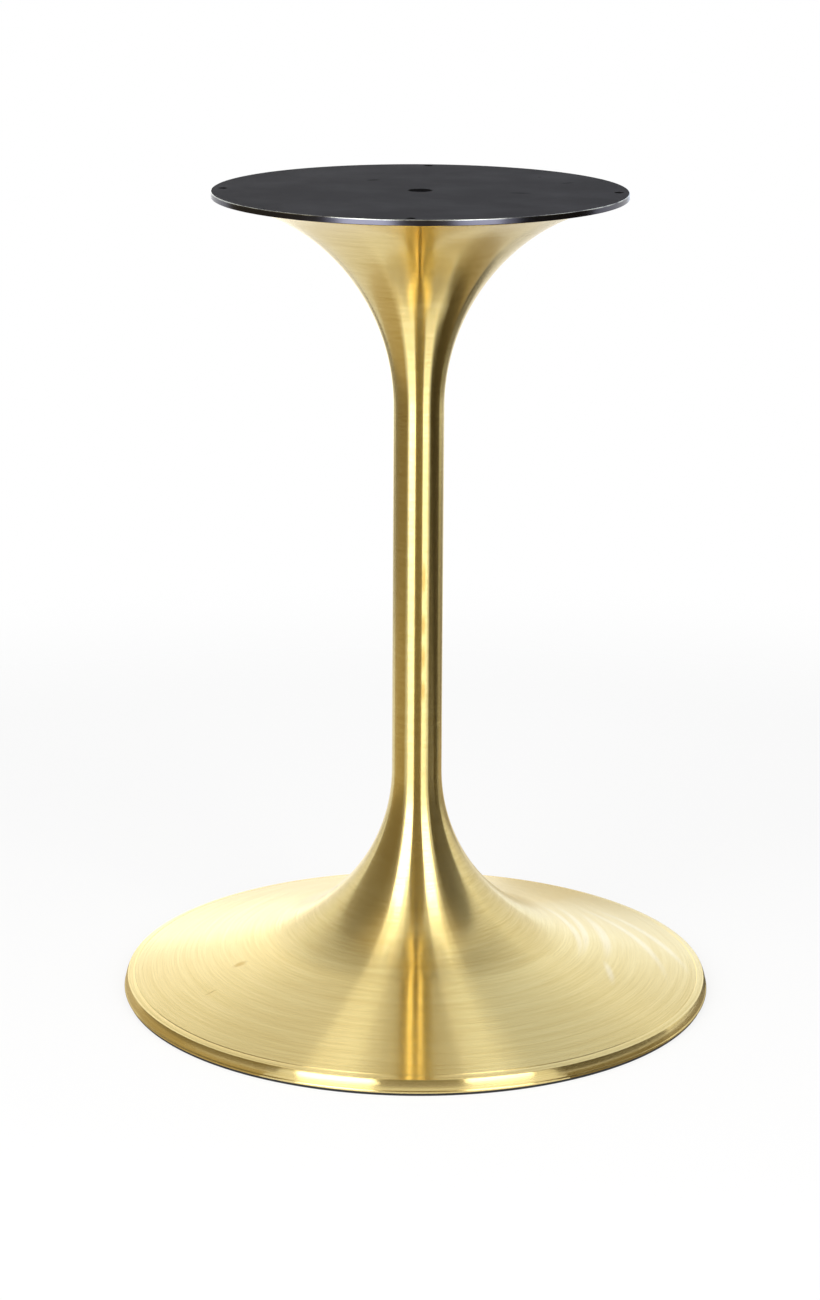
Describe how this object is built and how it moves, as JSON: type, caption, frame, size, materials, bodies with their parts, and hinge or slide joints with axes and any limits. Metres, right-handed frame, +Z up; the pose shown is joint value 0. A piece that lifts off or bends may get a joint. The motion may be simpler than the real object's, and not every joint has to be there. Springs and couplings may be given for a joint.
{
  "type": "tulip table base",
  "caption": "Trumpet-shaped pedestal for a table: brushed brass column that flares into a round base and up to a black plate for the table top.",
  "frame": {"origin": "on the floor, in the middle of the base", "axes": "+Z up along the column, towards the top plate"},
  "size_m": [0.5279, 0.528, 0.72],
  "materials": {
    "brushed_brass": "brushed round the axis and lacquered",
    "plate_coat": "fine black powder coat on steel",
    "black_screw_steel": "black oxide",
    "ballast_paint": "dull black primer on steel plate",
    "rod_steel": "bright drawn",
    "floor_rubber": "plain black"
  },
  "bodies": {
    "root": {"top_plate": "plate_coat", "top_screw": "black_screw_steel", "top_trumpet": "brushed_brass", "column_tube": "brushed_brass", "base_trumpet": "brushed_brass", "ballast_plate": "ballast_paint", "bottom_screw": "black_screw_steel", "tie_rod": "rod_steel", "floor_ring": "floor_rubber"}
  },
  "joints": []
}
